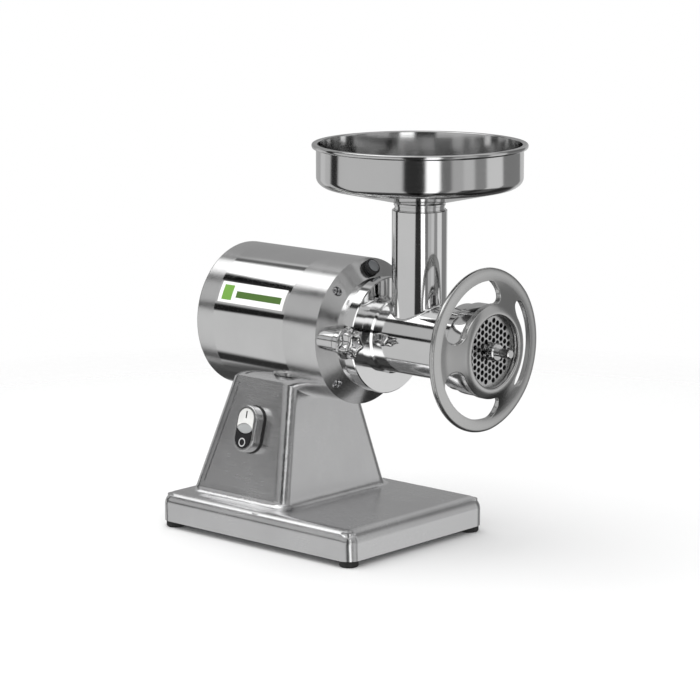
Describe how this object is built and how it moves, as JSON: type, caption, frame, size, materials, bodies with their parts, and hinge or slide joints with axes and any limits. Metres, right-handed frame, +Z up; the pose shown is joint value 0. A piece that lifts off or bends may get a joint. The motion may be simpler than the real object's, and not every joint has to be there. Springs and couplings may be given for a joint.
{
  "type": "electric meat grinder",
  "caption": "Bench meat grinder: geared motor on a cast pedestal turns a feed screw in a barrel with round hopper, cutting plate and dished ring-nut handwheel.",
  "frame": {"origin": "on the bench, under the middle of the machine's outer box", "axes": "+X out of the mouth along the feed screw, -Y towards the switch, +Z up"},
  "size_m": [0.41, 0.2304, 0.4439],
  "materials": {
    "base_metal": "polished cast alloy",
    "satin_alloy": "satin cast alloy",
    "steel": "brushed",
    "bright_steel": "polished",
    "cast_iron": "machined",
    "black_rubber": "matt",
    "black_plastic": "satin",
    "white_plastic": "satin",
    "grey_lens": "gloss",
    "copper": "lacquered wire",
    "label": "satin film",
    "grey_plastic": "matt"
  },
  "bodies": {
    "machine": {"base_casting": "base_metal", "base_cover": "steel", "rubber_feet": "black_rubber", "foot_screws": "steel", "cover_screws": "steel", "saddle_bolts": "steel", "cable_gland": "black_plastic", "motor_capacitor": "grey_plastic", "terminal_block": "white_plastic", "switch_gasket": "black_rubber", "switch_bezel": "bright_steel", "pilot_lens": "grey_lens", "switch_lock_nut": "black_plastic", "switch_contact_block": "grey_plastic", "rear_cover": "base_metal", "motor_casing": "base_metal", "rear_cover_screws": "steel", "housing_screws": "steel", "stator_core": "cast_iron", "stator_windings": "copper", "motor_bearing_outer_rings": "steel", "gear_housing": "base_metal", "gearbox_plate": "satin_alloy", "layshaft_bearing_outer_rings": "steel", "output_bearing_outer_rings": "steel", "shaft_seal": "black_rubber", "oil_plug_gasket": "black_rubber", "oil_plug": "black_plastic", "label_plate": "label", "barrel": "bright_steel", "plate_key_pin": "steel", "clamp_studs": "steel"},
    "rotor": {"rotor_core": "cast_iron", "rotor_shaft": "steel", "cooling_fan": "grey_plastic", "motor_pinion": "steel", "motor_bearing_inner_rings": "steel"},
    "layshaft_set": {"layshaft": "steel", "layshaft_gear": "steel", "layshaft_pinion": "steel", "layshaft_bearing_inner_rings": "steel"},
    "feed_screw": {"drive_shaft": "steel", "output_gear": "steel", "output_bearing_inner_rings": "steel", "auger": "steel", "knife": "steel"},
    "cutting_plate": {"mincer_plate": "steel"},
    "ring_nut": {"handwheel": "satin_alloy"},
    "start_button": {"start_button": "white_plastic"},
    "stop_button": {"stop_button": "black_plastic"},
    "clamp_washer_left": {"clamp_washer_left": "steel"},
    "clamp_knob_left": {"clamp_knob_left": "bright_steel"},
    "clamp_washer_right": {"clamp_washer_right": "steel"},
    "clamp_knob_right": {"clamp_knob_right": "bright_steel"},
    "hopper": {"hopper": "bright_steel"}
  },
  "joints": [
    {"name": "auger_spin", "type": "hinge", "parent": "machine", "child": "feed_screw", "pos_m": [0.1, 0, 0.2322], "axis": [1, 0, 0], "continuous": true},
    {"name": "layshaft_spin", "type": "hinge", "parent": "machine", "child": "layshaft_set", "pos_m": [-0.01, 0, 0.2672], "axis": [1, 0, 0], "continuous": true},
    {"name": "rotor_spin", "type": "hinge", "parent": "machine", "child": "rotor", "pos_m": [-0.1, 0, 0.2322], "axis": [1, 0, 0], "continuous": true},
    {"name": "ring_nut_turn", "type": "hinge", "parent": "cutting_plate", "child": "ring_nut", "pos_m": [0.17, 0, 0.2322], "axis": [1, 0, 0], "range_deg": [0, 1440]},
    {"name": "plate_slide", "type": "slide", "parent": "machine", "child": "cutting_plate", "axis": [1, 0, 0], "range_m": [0, 0.02]},
    {"name": "start_press", "type": "slide", "parent": "machine", "child": "start_button", "axis": [0, 0.9686, -0.2487], "range_m": [0, 0.003], "stiffness_N_per_m": 500},
    {"name": "stop_press", "type": "slide", "parent": "machine", "child": "stop_button", "axis": [0, 0.9686, -0.2487], "range_m": [0, 0.003], "stiffness_N_per_m": 500},
    {"name": "knob_left_turn", "type": "hinge", "parent": "clamp_washer_left", "child": "clamp_knob_left", "pos_m": [0.04, -0.068, 0.2322], "axis": [1, 0, 0], "range_deg": [0, 1440]},
    {"name": "washer_left_slide", "type": "slide", "parent": "machine", "child": "clamp_washer_left", "axis": [1, 0, 0], "range_m": [0, 0.005]},
    {"name": "knob_right_turn", "type": "hinge", "parent": "clamp_washer_right", "child": "clamp_knob_right", "pos_m": [0.04, 0.068, 0.2322], "axis": [1, 0, 0], "range_deg": [0, 1440]},
    {"name": "washer_right_slide", "type": "slide", "parent": "machine", "child": "clamp_washer_right", "axis": [1, 0, 0], "range_m": [0, 0.005]},
    {"name": "hopper_lift", "type": "slide", "parent": "machine", "child": "hopper", "axis": [0, 0, 1], "range_m": [0, 0.03]}
  ],
  "couplings": [
    {"joint": "layshaft_spin", "follows": "auger_spin", "ratio": -2.5},
    {"joint": "rotor_spin", "follows": "auger_spin", "ratio": 7.5},
    {"joint": "plate_slide", "follows": "ring_nut_turn", "m_per_rad": 0.00079577},
    {"joint": "washer_left_slide", "follows": "knob_left_turn", "m_per_rad": 0.00019894},
    {"joint": "washer_right_slide", "follows": "knob_right_turn", "m_per_rad": 0.00019894}
  ]
}
